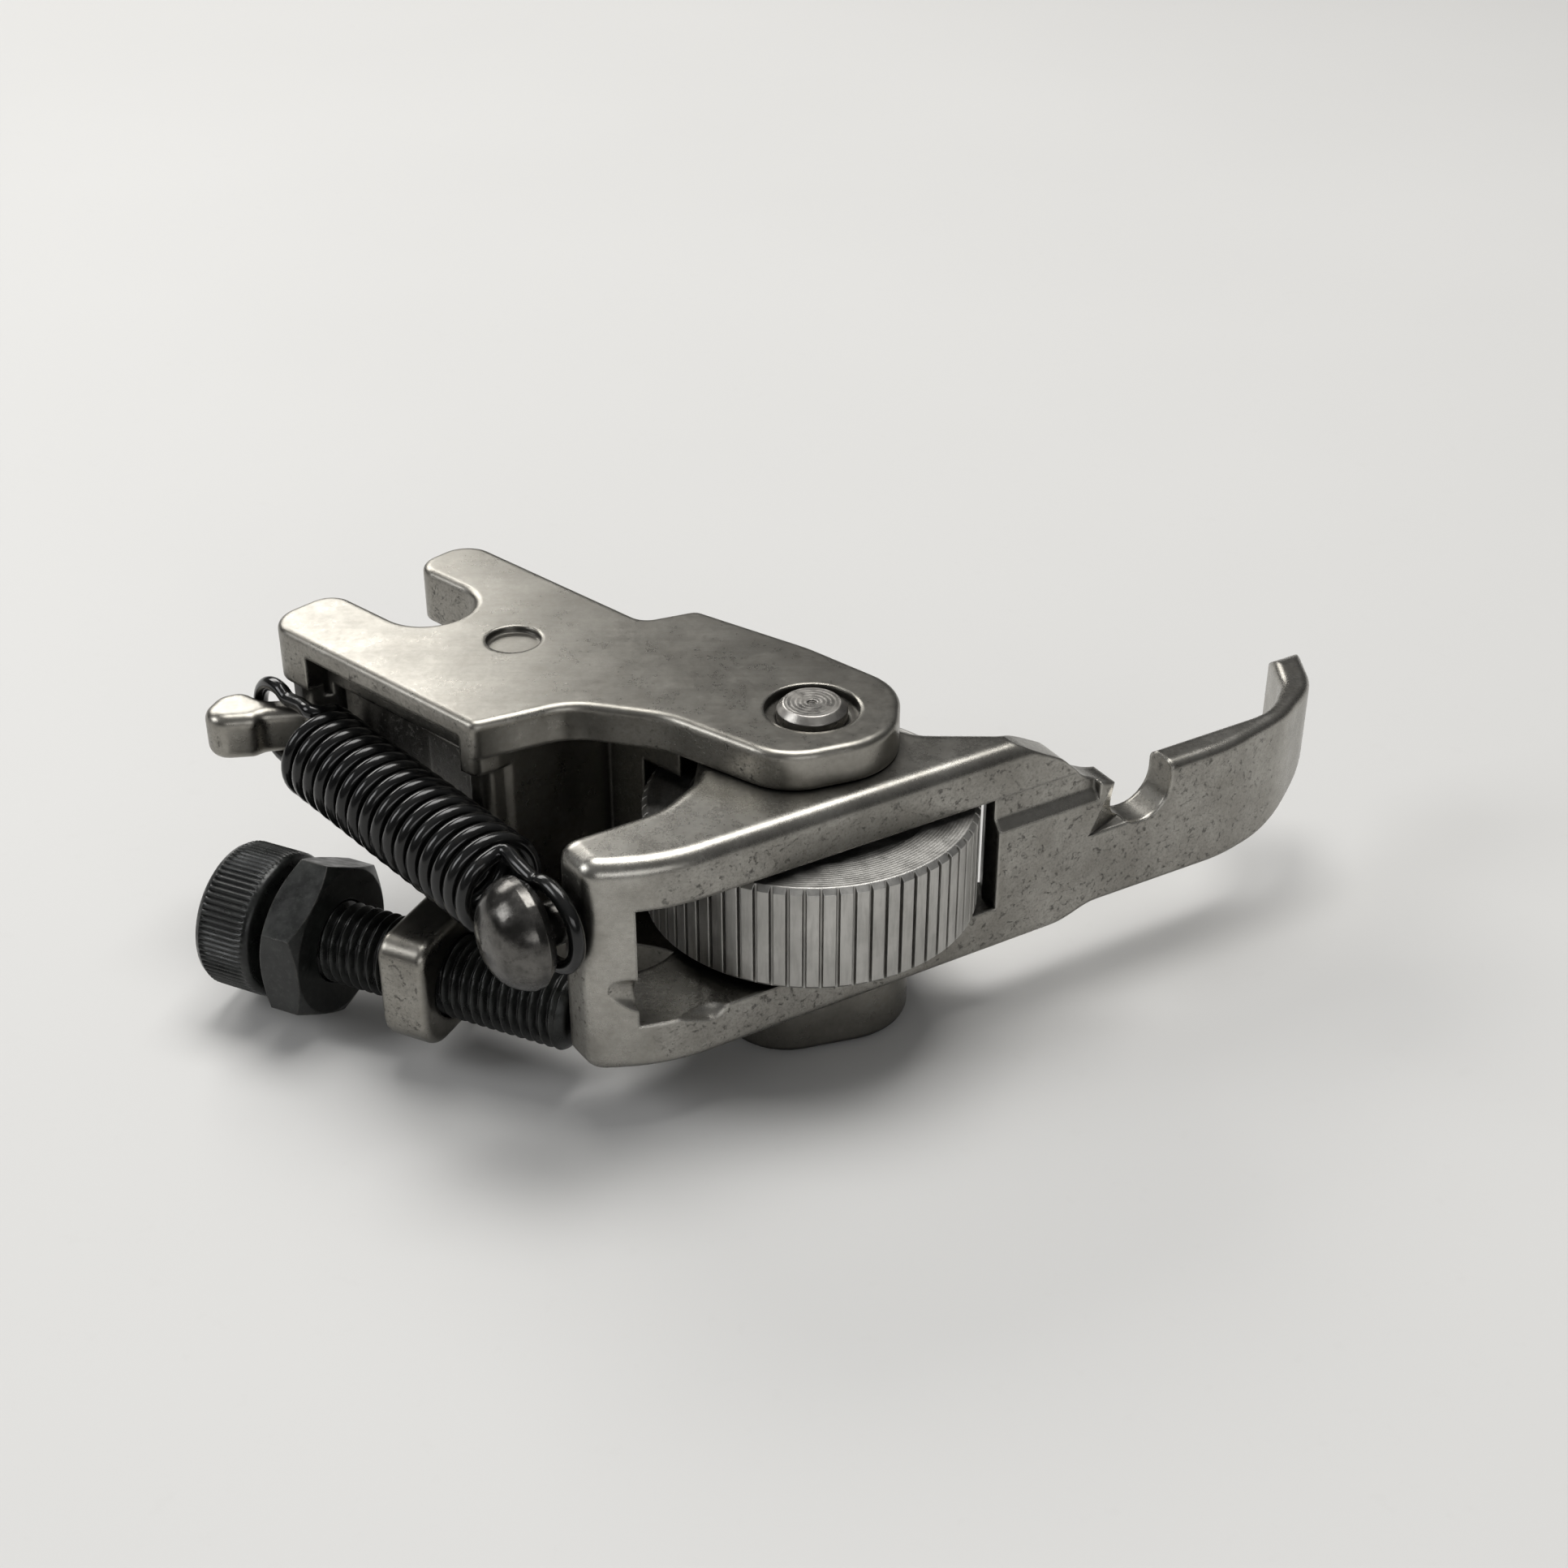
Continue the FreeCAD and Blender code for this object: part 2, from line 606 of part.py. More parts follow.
# ================================================================= heel spring post
def build_post():
    """Domed post, its stem in the heel seat and its dome pointing away from the foot."""
    angle = dim("foot_angle")
    base = to_world(angle, dim("post_u"), dim("post_v"), dim("spring_z"))
    post = make_body("heel_spring_post",
                     Placement(base, Rotation(Z_AXIS, direction(angle) * -1)))
    stem = dim("post_hole") / 2.0 - dim("post_slack")
    dome = dim("post_dome_d") / 2.0
    # (radius, place along the axis, corner radius)
    profile = outline_sketch(post, "post_profile", [
        (0.0, -1.7), (stem - 0.1, -1.7), (stem, -1.5), (stem, 1.45), (dome - 0.4, 1.55),
        (dome, 2.0), (dome, 2.4), (2.0, 3.7, 2.0), (0.0, 4.0)], "XZ_Plane")
    turn(post, "post_turn", profile)
    return post


# ================================================================= hinge pin
def build_pin():
    pin = make_body("pivot_pin")
    section = circle_sketch(pin, "pin_section", ["Dims.pin_d / 2"], "-Dims.pin_low")
    pad(pin, section, "pin_length", "Dims.pin_low + Dims.pin_top")
    chamfer(pin, "pin_end_chamfer", "Dims.pin_chamfer", ["Edge1", "Edge3"])
    mark = circle_sketch(pin, "centre_mark", ["Dims.centre_mark_r"], "Dims.pin_top")
    pocket(pin, mark, "centre_dimple", "Dims.centre_mark_depth")
    return pin


# ================================================================= roller
def build_roller():
    wheel = make_body("knurled_roller")
    radius, half = dim("wheel_r"), dim("wheel_half")
    section = circle_sketch(wheel, "roller_section", ["Dims.wheel_r", "Dims.wheel_bore / 2"])
    pad(wheel, section, "roller_blank", "2 * Dims.wheel_half", mid=True)
    # ring-shaped recess in each face
    for side, offset in (("upper", "Dims.wheel_half"), ("lower", "-Dims.wheel_half")):
        ring = circle_sketch(wheel, side + "_face_recess",
                             ["Dims.recess_r", "Dims.recess_hub_r"], offset)
        pocket(wheel, ring, side + "_recess", "Dims.recess_deep", rev=(side == "lower"))

    def is_rim(edge):
        box = edge.BoundBox
        return (is_ring(edge) and abs(box.XLength / 2 - radius) < 1e-3
                and abs(abs(box.ZMin) - half) < 1e-3)

    chamfer(wheel, "rim_chamfer", "Dims.wheel_chamfer", edge_names(wheel.Tip.Shape, is_rim))

    # one knurl groove, narrow at its floor, repeated round the rim
    floor, mouth = radius - dim("groove_depth"), radius + 0.12
    floor_half, mouth_half = dim("groove_w") * 0.28, dim("groove_w") * 0.72
    groove = outline_sketch(wheel, "knurl_groove", [
        (floor, -floor_half), (mouth, -mouth_half), (mouth, mouth_half),
        (floor, floor_half)])
    cut = pocket(wheel, groove, "knurl_cut", "Dims.bore_cut", mid=True)
    pattern = wheel.newObject("PartDesign::PolarPattern", "knurl_pattern")
    pattern.Originals = [cut]
    pattern.Axis = (groove, ["N_Axis"])
    pattern.Angle = 360
    pattern.setExpression("Occurrences", "Dims.wheel_teeth")
    wheel.Tip = pattern
    doc.recompute()
    return wheel


# ================================================================= adjusting screw
def build_screw():
    screw = make_body("adjusting_screw", turned("screw_angle"))
    # section sketch, radius, feature, length: both start at the outer face of the head
    for sketch_name, radius, name, length in (
            ("head_section", "Dims.screw_head_d / 2", "head", "Dims.screw_head_l"),
            ("thread_section", "Dims.screw_thread_d / 2", "threaded_rod",
             "Dims.screw_tip_u - Dims.screw_head_u")):
        section = screw_sketch(screw, sketch_name, "Dims.screw_head_u")
        add_circle(section, radius)
        pad(screw, section, name, length)
    socket = screw_sketch(screw, "socket_section", "Dims.screw_head_u")
    draw(socket, hexagon(dim("socket_af")))
    pocket(screw, socket, "hex_socket", "Dims.socket_depth", rev=True)

    # outer rims of the thread tip and of the head: (radius, place along the axis)
    rims = [(dim("screw_thread_d") / 2, dim("screw_tip_u")),
            (dim("screw_head_d") / 2, dim("screw_head_u"))]

    def is_end_rim(edge):
        box = edge.BoundBox
        return is_ring(edge) and any(
            abs(box.ZLength / 2 - radius) < 1e-3 and abs(box.XMin - place) < 1e-3
            for radius, place in rims)

    chamfer(screw, "screw_end_chamfers", "Dims.screw_chamfer",
            edge_names(screw.Tip.Shape, is_end_rim))
    return screw


# ================================================================= lock nut
def build_nut():
    nut = make_body("lock_nut", turned("screw_angle"))
    section = screw_sketch(nut, "nut_hexagon", "Dims.nut_u")
    draw(section, hexagon(dim("nut_af"), dim("nut_turn")))
    pad(nut, section, "nut_blank", "Dims.nut_thick")
    bore = screw_sketch(nut, "nut_bore", "Dims.nut_u")
    add_circle(bore, "Dims.nut_bore_d / 2")
    pocket(nut, bore, "nut_thread_bore", "Dims.nut_cut", mid=True)

    # the corners of both faces are chamfered by a common with a turned blank
    angle = dim("screw_angle")
    centre = to_world(angle, dim("nut_u"), dim("screw_v"), dim("screw_z"))
    blank = make_body("nut_chamfer_blank",
                      Placement(centre, Rotation(Z_AXIS, direction(angle))))
    thick, rise = dim("nut_thick"), dim("nut_chamfer_rise")
    flat, outer = dim("nut_flat_r"), dim("nut_blank_r")
    # (radius, place along the axis)
    profile = outline_sketch(blank, "nut_chamfer_profile", [
        (0, 0), (flat, 0), (outer, rise), (outer, thick - rise), (flat, thick),
        (0, thick)], "XZ_Plane")
    turn(blank, "nut_chamfer_turn", profile)

    finished = doc.addObject("Part::Common", "hex_lock_nut")
    finished.Base = nut
    finished.Tool = blank
    doc.recompute()
    return finished


# ================================================================= tension spring
HOOK_STEPS = 12
HOOK_SWEEP = 240.0          # degrees
POINTS_PER_TURN = 8


def spring_points():
    """Wire centre points: upper hook on the horn, coil, lower hook on the post neck."""
    level = dim("spring_z")
    first = horn_point(level) + direction(dim("horn_angle")) * dim("horn_seat")
    last = to_world(dim("foot_angle"), dim("post_u") - dim("neck_seat"), dim("post_v"), level)
    axis = last - first
    length = axis.Length
    axis.normalize()
    sideways = Vector(-axis.y, axis.x, 0)

    coil_r, pitch, hook_r = dim("spring_mean_r"), dim("spring_pitch"), dim("hook_r")
    turns = int(dim("spring_turns"))
    coil_start = (length - pitch * turns) / 2.0

    def at(along, across, height):
        return first + axis * along + sideways * across + Z_AXIS * height

    def hook(centre, start_angle):
        angles = [math.radians(start_angle - HOOK_SWEEP * k / HOOK_STEPS)
                  for k in range(HOOK_STEPS + 1)]
        return [at(centre + math.cos(a) * hook_r, 0.0, math.sin(a) * hook_r)
                for a in angles]

    # one point between each hook and the coil eases the change of radius
    lead_along = (hook_r * 0.5 + coil_start) / 2
    lead_height = (hook_r * 0.87 + coil_r) / 2 + 0.05

    # from below the horn, round the hook's outer side and over the top into the coil
    points = hook(0.0, -60.0)
    points.append(at(lead_along, 0.0, lead_height))
    for k in range(turns * POINTS_PER_TURN + 1):
        a = 2 * math.pi * k / POINTS_PER_TURN
        points.append(at(coil_start + pitch * k / POINTS_PER_TURN,
                         coil_r * math.sin(a), coil_r * math.cos(a)))
    points.append(at(length - lead_along, 0.0, lead_height))
    points += hook(length, 120.0)
    return points


def build_spring():
    points = spring_points()
    curve = Part.BSplineCurve()
    curve.interpolate(points)
    path = Part.Wire([curve.toShape()])
    tangent = curve.tangent(curve.FirstParameter)[0]
    wire_r = dim("spring_wire") / 2.0
    section = Part.Wire([Part.Circle(points[0], tangent, wire_r).toShape()])
    sweep = Part.BRepOffsetAPI.MakePipeShell(path)
    sweep.setFrenetMode(True)
    sweep.add(section)
    sweep.build()
    sweep.makeSolid()
    spring = doc.addObject("Part::Feature", "tension_spring")
    spring.Shape = sweep.shape()
    return spring


# ================================================================= build and export
pieces = [build_holder(), build_foot(), build_post(), build_pin(), build_roller(),
          build_screw(), build_nut(), build_spring()]
doc.recompute()

os.makedirs("parts", exist_ok=True)
for item in doc.Objects:
    if "Invalid" in item.State or "Error" in item.State:
        raise RuntimeError("bad object: %s %s" % (item.Name, item.State))
for piece in pieces:
    shape = piece.Shape
    if shape.isNull() or not shape.isValid() or len(shape.Solids) != 1:
        raise RuntimeError("bad shape: %s" % piece.Label)
    shape.exportStep("parts/%s.step" % piece.Label)
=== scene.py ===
import functools
import math

import bmesh
import bpy
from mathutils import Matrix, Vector


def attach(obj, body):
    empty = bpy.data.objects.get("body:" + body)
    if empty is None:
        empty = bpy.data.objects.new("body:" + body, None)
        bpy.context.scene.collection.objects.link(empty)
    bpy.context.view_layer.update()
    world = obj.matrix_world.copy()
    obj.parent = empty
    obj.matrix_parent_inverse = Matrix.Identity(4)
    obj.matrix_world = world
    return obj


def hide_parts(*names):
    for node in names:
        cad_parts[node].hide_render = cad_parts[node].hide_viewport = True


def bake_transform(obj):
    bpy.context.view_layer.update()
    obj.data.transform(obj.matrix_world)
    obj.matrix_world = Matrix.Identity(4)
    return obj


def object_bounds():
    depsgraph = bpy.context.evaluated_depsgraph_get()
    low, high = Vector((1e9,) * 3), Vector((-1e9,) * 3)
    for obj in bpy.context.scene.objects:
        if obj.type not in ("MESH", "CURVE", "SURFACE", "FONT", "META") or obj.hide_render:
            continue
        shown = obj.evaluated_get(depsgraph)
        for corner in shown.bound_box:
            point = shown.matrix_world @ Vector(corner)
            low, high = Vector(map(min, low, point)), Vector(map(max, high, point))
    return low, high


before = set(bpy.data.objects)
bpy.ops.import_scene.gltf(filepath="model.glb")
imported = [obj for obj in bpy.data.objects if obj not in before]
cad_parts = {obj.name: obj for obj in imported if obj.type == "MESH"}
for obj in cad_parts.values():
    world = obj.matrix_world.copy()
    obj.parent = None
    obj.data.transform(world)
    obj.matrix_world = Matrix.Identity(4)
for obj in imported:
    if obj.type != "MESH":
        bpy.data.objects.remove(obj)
CAD_LO, CAD_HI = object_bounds()
MM = 0.001                      # the design is in mm, the scene in metres
UP = Vector((0, 0, 1))

# Turn of each sub-assembly's frame about the hinge pin
HOLDER_TURN = math.radians(-42.0)
FOOT_TURN = math.radians(31.0)
SCREW_TURN = math.radians(-25.0)


def turned(angle, along, across, z=0.0):
    """A point of a frame turned about the hinge pin, in mm."""
    cos, sin = math.cos(angle), math.sin(angle)
    return Vector((along * cos - across * sin, along * sin + across * cos, z))


def direction(angle, along, across):
    return turned(angle, along, across).normalized()


# ---------------------------------------------------------------- shader nodes
def add_node(tree, kind, inputs=None, **settings):
    """A shader node; each input is given a socket to link from, a number or a 3-tuple."""
    node = tree.nodes.new("ShaderNode" + kind)
    for key, value in settings.items():
        setattr(node, key, value)
    for key, value in (inputs or {}).items():
        socket = node.inputs[key]
        if isinstance(value, bpy.types.NodeSocket):
            tree.links.new(value, socket)
        elif socket.type == "RGBA":
            socket.default_value = (*value, 1.0)
        else:
            socket.default_value = value
    return node


def shade(colour, factor):
    return tuple(channel * factor for channel in colour)


class Kit:
    """One material's node tree, and the patterns it is made from."""

    def __init__(self, name):
        self.material = bpy.data.materials.new(name)
        self.material.use_nodes = True
        self.tree = self.material.node_tree
        self.tree.nodes.clear()
        self.position = self.node("TexCoord").outputs["Object"]

    def node(self, kind, inputs=None, **settings):
        return add_node(self.tree, kind, inputs, **settings)

    @functools.cached_property
    def geometry(self):
        return self.node("NewGeometry")

    def calc(self, operation, first, second=0.0, clamp=False):
        inputs = {0: first, 1: second}
        return self.node("Math", inputs, operation=operation, use_clamp=clamp).outputs[0]

    def times(self, first, second):
        return self.calc("MULTIPLY", first, second)

    def vector(self, operation, first, second=None):
        inputs = {0: first} if second is None else {0: first, 1: second}
        return self.node("VectorMath", inputs, operation=operation)

    def ramp(self, value, start, end, low=0.0, high=1.0):
        """Smooth step from low at start to high at end."""
        inputs = {"Value": value, "From Min": start, "From Max": end,
                  "To Min": low, "To Max": high}
        node = self.node("MapRange", inputs, interpolation_type="SMOOTHSTEP", clamp=True)
        return node.outputs["Result"]

    def noise(self, scale, rough, detail=4.0, place=None, warp=0.0):
        inputs = {"Scale": scale, "Detail": detail, "Roughness": rough,
                  "Distortion": warp, "Vector": place or self.position}
        return self.node("TexNoise", inputs).outputs[0]

    def patches(self, scale, rough, start, end, detail=4.0, warp=0.0, low=0.0, high=1.0):
        """Noise cut between two levels."""
        noise = self.noise(scale, rough, detail, warp=warp)
        return self.ramp(noise, start, end, low, high)

    def streaks(self, scale, detail, turn=0.0):
        """Noise drawn out along the axis with the smallest scale."""
        inputs = {"Scale": scale, "Rotation": (0, 0, turn), "Vector": self.position}
        place = self.node("Mapping", inputs).outputs[0]
        return self.noise(scale=1.0, rough=0.6, detail=detail, place=place)

    def turning_rings(self, frequency):
        """Wave running outwards from the Z axis."""
        flat = self.vector("MULTIPLY", self.position, (1, 1, 0)).outputs[0]
        radius = self.vector("LENGTH", flat).outputs["Value"]
        return self.calc("SINE", self.times(radius, frequency))

    def mix(self, factor, first, second, kind="RGBA"):
        slot, output = {"RGBA": (6, 2), "FLOAT": (2, 0)}[kind]
        # The data type is set before the inputs, as add_node does
        inputs = {"Factor": factor, slot: first, slot + 1: second}
        return self.node("Mix", inputs, data_type=kind).outputs[output]

    def tint(self, base, colour, mask, amount):
        return self.mix(self.times(mask, amount), base, colour)

    def facing(self, way, start, end):
        """1 where the true face looks along way."""
        dot = self.vector("DOT_PRODUCT", self.geometry.outputs["True Normal"], way)
        return self.ramp(dot.outputs["Value"], start, end)

    def edge(self, radius):
        """Mask of worn edges, and the normal with the edges eased; radius in mm."""
        eased = self.node("Bevel", {"Radius": radius * MM}, samples=6).outputs[0]
        dot = self.vector("DOT_PRODUCT", eased, self.geometry.outputs["Normal"])
        bend = self.calc("SUBTRACT", 1.0, dot.outputs["Value"])
        return self.ramp(bend, start=0.004, end=0.11), eased

    def hollow(self, distance, start=0.35, end=0.95):
        """1 in crevices, the mask for painted shade; distance in mm."""
        node = self.node("AmbientOcclusion", {"Distance": distance * MM}, samples=6)
        return self.ramp(node.outputs["AO"], start, end, low=1.0, high=0.0)

    def bump(self, height, depth, normal=None, strength=1.0):
        """Normal bent by a height whose full swing is depth mm."""
        inputs = {"Strength": strength, "Distance": depth * MM, "Height": height}
        if normal is not None:
            inputs["Normal"] = normal
        return self.node("Bump", inputs).outputs[0]

    def finish(self, colour, metallic, rough, normal, **others):
        inputs = {"Base Color": colour, "Metallic": metallic, "Roughness": rough,
                  "Normal": normal, **others}
        surface = self.node("BsdfPrincipled", inputs).outputs[0]
        self.node("OutputMaterial", {"Surface": surface})
        return self.material


# ---------------------------------------------------------------- materials
def satin_steel(name, light, dark, warm, rough, grain, cast_faces, brush_turn, brush_scale,
                edge_radius):
    """Brushed steel; cast_faces are (direction, start, end) of the coarse, pitted sides."""
    polish = 0.5                # brightness and smoothness of the worn edges
    kit = Kit(name)
    edge, eased = kit.edge(edge_radius)
    cloud = kit.patches(scale=300, detail=5, rough=0.58, start=0.25, end=0.75)
    patch = kit.patches(scale=760, detail=5, rough=0.62, warp=0.4, start=0.42, end=0.72)
    speck = kit.patches(scale=3800, detail=3, rough=0.6, start=0.36, end=0.66)
    colour = kit.mix(cloud, dark, light)
    colour = kit.tint(colour, warm, patch, amount=0.20)
    colour = kit.tint(colour, shade(dark, 0.55), speck, amount=0.16)

    # Cast faces: coarse grain with darker pits, kept off the worn edges
    first, second = [kit.facing(*face) for face in cast_faces]
    cast = kit.calc("MAXIMUM", first, second)
    pit_noise = kit.noise(scale=3000, detail=5, rough=0.7, warp=0.3)
    pits = kit.ramp(pit_noise, start=0.55, end=0.68)
    fine = kit.patches(scale=8200, detail=3, rough=0.65, start=0.45, end=0.7)
    cast = kit.times(cast, kit.calc("SUBTRACT", 1.0, edge, clamp=True))
    colour = kit.tint(colour, shade(dark, 0.28), kit.times(cast, pits), amount=0.75)
    colour = kit.tint(colour, shade(dark, 0.45), kit.times(cast, fine), amount=0.35)

    colour = kit.tint(colour, shade(light, 1.28), edge, amount=polish)
    # Painted shade: colour darkened towards black in creases within 1.1 mm, in uneven patches;
    # the same creases are made rougher below
    crease_shade = kit.times(kit.hollow(distance=1.1),
                     kit.patches(scale=700, rough=0.6, start=0.2, end=0.6, low=0.45))
    colour = kit.tint(colour, (0.020, 0.018, 0.015), crease_shade, amount=0.75)
    # Painted shade: colour darkened nearly to black in deep cavities within 5 mm
    cavity_shade = kit.hollow(distance=5.0, start=0.12, end=0.62)
    colour = kit.tint(colour, (0.010, 0.010, 0.009), cavity_shade, amount=0.90)

    gloss = kit.patches(scale=900, detail=5, rough=0.6, start=0.3, end=0.7,
                        low=rough - 0.015, high=rough + 0.03)
    gloss = kit.calc("ADD", gloss, kit.patches(scale=6000, detail=2, rough=0.5, start=0.3,
                                               end=0.7, low=-0.015, high=0.02))
    gloss = kit.calc("ADD", gloss, kit.times(cast, 0.10))
    gloss = kit.mix(kit.times(edge, polish), gloss, rough * 0.55, kind="FLOAT")
    gloss = kit.calc("ADD", gloss, kit.times(crease_shade, 0.2))

    normal = kit.bump(kit.noise(scale=4200, rough=0.65), depth=grain * 0.7, normal=eased)
    streak = kit.streaks(scale=brush_scale, detail=3, turn=brush_turn)
    normal = kit.bump(streak, depth=grain * 0.55, normal=normal)
    brushed = kit.ramp(streak, start=0.4, end=0.7)
    colour = kit.tint(colour, shade(dark, 0.6), brushed, amount=0.12)
    height = kit.calc("SUBTRACT", kit.times(pit_noise, 0.5), kit.times(pits, 0.8))
    height = kit.calc("ADD", height, kit.times(fine, -0.25))
    normal = kit.bump(height, depth=grain * 5.0, normal=normal, strength=cast)
    return kit.finish(colour, metallic=1.0, rough=gloss, normal=normal)


def holder_steel():
    near_side = direction(HOLDER_TURN, 0, -1)
    nose = direction(HOLDER_TURN, -1, 0)
    return satin_steel(
        "satin_steel_holder", light=(0.355, 0.341, 0.308), dark=(0.255, 0.244, 0.218),
        warm=(0.248, 0.227, 0.195), rough=0.29, grain=0.0040,
        cast_faces=[(near_side, 0.80, 0.97), (nose, 0.9, 0.99)],
        brush_turn=HOLDER_TURN, brush_scale=(90, 2600, 2600), edge_radius=0.28)


def foot_steel():
    sole = direction(FOOT_TURN, 0, -1)      # the working face
    heel = direction(FOOT_TURN, -1, 0)
    return satin_steel(
        "satin_steel_foot", light=(0.430, 0.417, 0.384), dark=(0.275, 0.264, 0.238),
        warm=(0.300, 0.278, 0.245), rough=0.27, grain=0.0042,
        cast_faces=[(sole, 0.93, 0.995), (heel, 0.9, 0.99)],
        brush_turn=-FOOT_TURN, brush_scale=(120, 2400, 2400), edge_radius=0.3)


def roller_steel():
    kit = Kit("milled_steel_roller")
    edge, eased = kit.edge(radius=0.07)
    streak = kit.streaks(scale=(5200, 5200, 700), detail=4)
    cloud = kit.patches(scale=260, detail=5, rough=0.6, start=0.35, end=0.65)
    colour = kit.mix(cloud, (0.420, 0.412, 0.392), (0.540, 0.530, 0.505))
    milled = kit.ramp(streak, start=0.42, end=0.66)
    colour = kit.tint(colour, (0.24, 0.235, 0.22), milled, amount=0.30)
    colour = kit.tint(colour, (0.66, 0.65, 0.62), edge, amount=0.5)
    # Painted shade: colour darkened in creases within 0.35 mm
    crease_shade = kit.hollow(distance=0.35, start=0.2, end=0.7)
    colour = kit.tint(colour, (0.075, 0.070, 0.062), crease_shade, amount=0.5)
    # Turning rings show on the upper face only
    rings = kit.times(kit.turning_rings(frequency=42000.0), kit.facing(UP, 0.9, 0.99))
    normal = kit.bump(rings, depth=0.0022, normal=eased)
    normal = kit.bump(streak, depth=0.0045, normal=normal)
    normal = kit.bump(kit.noise(scale=5200, detail=3, rough=0.6), depth=0.0028, normal=normal)
    gloss = kit.patches(scale=1100, rough=0.6, start=0.3, end=0.7, low=0.36, high=0.50)
    return kit.finish(colour, metallic=1.0, rough=gloss, normal=normal)


def pin_steel():
    kit = Kit("turned_steel_pin")
    edge, eased = kit.edge(radius=0.1)
    cloud = kit.patches(scale=600, detail=5, rough=0.65, start=0.35, end=0.65)
    colour = kit.mix(cloud, (0.360, 0.345, 0.320), (0.480, 0.462, 0.435))
    colour = kit.tint(colour, (0.62, 0.60, 0.57), edge, amount=0.6)
    # Painted shade: colour darkened in crevices within 0.5 mm
    colour = kit.tint(colour, (0.022, 0.019, 0.015), kit.hollow(distance=0.5), amount=0.85)
    rings = kit.times(kit.turning_rings(frequency=30000.0), kit.facing(UP, 0.9, 0.99))
    normal = kit.bump(rings, depth=0.003, normal=eased)
    normal = kit.bump(kit.noise(scale=3800, rough=0.6), depth=0.004, normal=normal)
    gloss = kit.patches(scale=1500, rough=0.6, start=0.3, end=0.7, low=0.24, high=0.40)
    return kit.finish(colour, metallic=1.0, rough=gloss, normal=normal)


def black_oxide(name, rough, edge_radius, wear):
    base, light = (0.0065, 0.0070, 0.0068), (0.0145, 0.0160, 0.0145)
    kit = Kit(name)
    edge, eased = kit.edge(edge_radius)
    cloud = kit.patches(scale=500, detail=5, rough=0.6, start=0.35, end=0.68)
    speck = kit.patches(scale=4200, detail=3, rough=0.6, start=0.5, end=0.7)
    colour = kit.mix(cloud, base, light)
    colour = kit.tint(colour, shade(light, 2.4), speck, amount=0.4)
    rub = kit.times(edge, kit.patches(scale=1300, rough=0.65, start=0.35, end=0.62))
    colour = kit.tint(colour, (0.17, 0.16, 0.145), rub, amount=wear)
    # Painted shade: colour darkened in crevices within 0.6 mm
    colour = kit.tint(colour, (0.004, 0.004, 0.004), kit.hollow(distance=0.6), amount=0.7)
    gloss = kit.patches(scale=1400, detail=5, rough=0.6, start=0.3, end=0.7,
                        low=rough - 0.06, high=rough + 0.12)
    normal = kit.bump(kit.noise(scale=3600, rough=0.65), depth=0.0045, normal=eased)
    normal = kit.bump(kit.noise(scale=9000, detail=2, rough=0.5), depth=0.0018, normal=normal)
    return kit.finish(colour, metallic=0.25, rough=gloss, normal=normal, IOR=1.5)


def oiled_spring():
    kit = Kit("oiled_black_spring_wire")
    cloud = kit.patches(scale=450, detail=5, rough=0.6, start=0.35, end=0.68)
    colour = kit.mix(cloud, (0.0045, 0.0047, 0.0050), (0.0125, 0.0128, 0.0125))
    scale_marks = kit.patches(scale=2600, rough=0.65, start=0.55, end=0.70)
    colour = kit.tint(colour, (0.030, 0.026, 0.022), scale_marks, amount=0.3)
    # Painted shade: colour darkened in crevices within 0.55 mm, between the coils
    colour = kit.tint(colour, (0.003, 0.003, 0.003), kit.hollow(distance=0.55), amount=0.8)
    gloss = kit.patches(scale=1800, rough=0.6, start=0.3, end=0.7, low=0.12, high=0.24)
    normal = kit.bump(kit.noise(scale=5200, detail=3, rough=0.6), depth=0.0015)
    oil = {"Coat Weight": 0.2, "Coat Roughness": 0.15, "IOR": 1.45}
    return kit.finish(colour, metallic=0.25, rough=gloss, normal=normal, **oil)


def dark_polished():
    kit = Kit("dark_polished_post")
    edge, eased = kit.edge(radius=0.12)
    cloud = kit.patches(scale=700, detail=5, rough=0.62, start=0.35, end=0.66)
    colour = kit.mix(cloud, (0.060, 0.058, 0.054), (0.135, 0.130, 0.122))
    speck = kit.patches(scale=3500, detail=3, rough=0.6, start=0.52, end=0.7)
    colour = kit.tint(colour, (0.03, 0.028, 0.025), speck, amount=0.4)
    colour = kit.tint(colour, (0.30, 0.29, 0.27), edge, amount=0.4)
    # Painted shade: colour darkened in crevices within 0.8 mm
    colour = kit.tint(colour, (0.008, 0.007, 0.006), kit.hollow(distance=0.8), amount=0.8)
    gloss = kit.patches(scale=1600, rough=0.6, start=0.3, end=0.7, low=0.17, high=0.30)
    normal = kit.bump(kit.noise(scale=3400, detail=3, rough=0.6), depth=0.004, normal=eased)
    return kit.finish(colour, metallic=0.95, rough=gloss, normal=normal)


def pale_table():
    kit = Kit("pale_table")
    cloud = kit.patches(scale=9, rough=0.5, start=0.3, end=0.7)
    colour = kit.mix(cloud, (0.60, 0.597, 0.588), (0.622, 0.619, 0.610))
    speck = kit.patches(scale=900, detail=3, rough=0.6, start=0.62, end=0.75)
    colour = kit.tint(colour, (0.48, 0.465, 0.45), speck, amount=0.05)
    normal = kit.bump(kit.noise(scale=1200, detail=3, rough=0.6), depth=0.004)
    dull = {"Specular IOR Level": 0.25}
    return kit.finish(colour, metallic=0.0, rough=0.62, normal=normal, **dull)


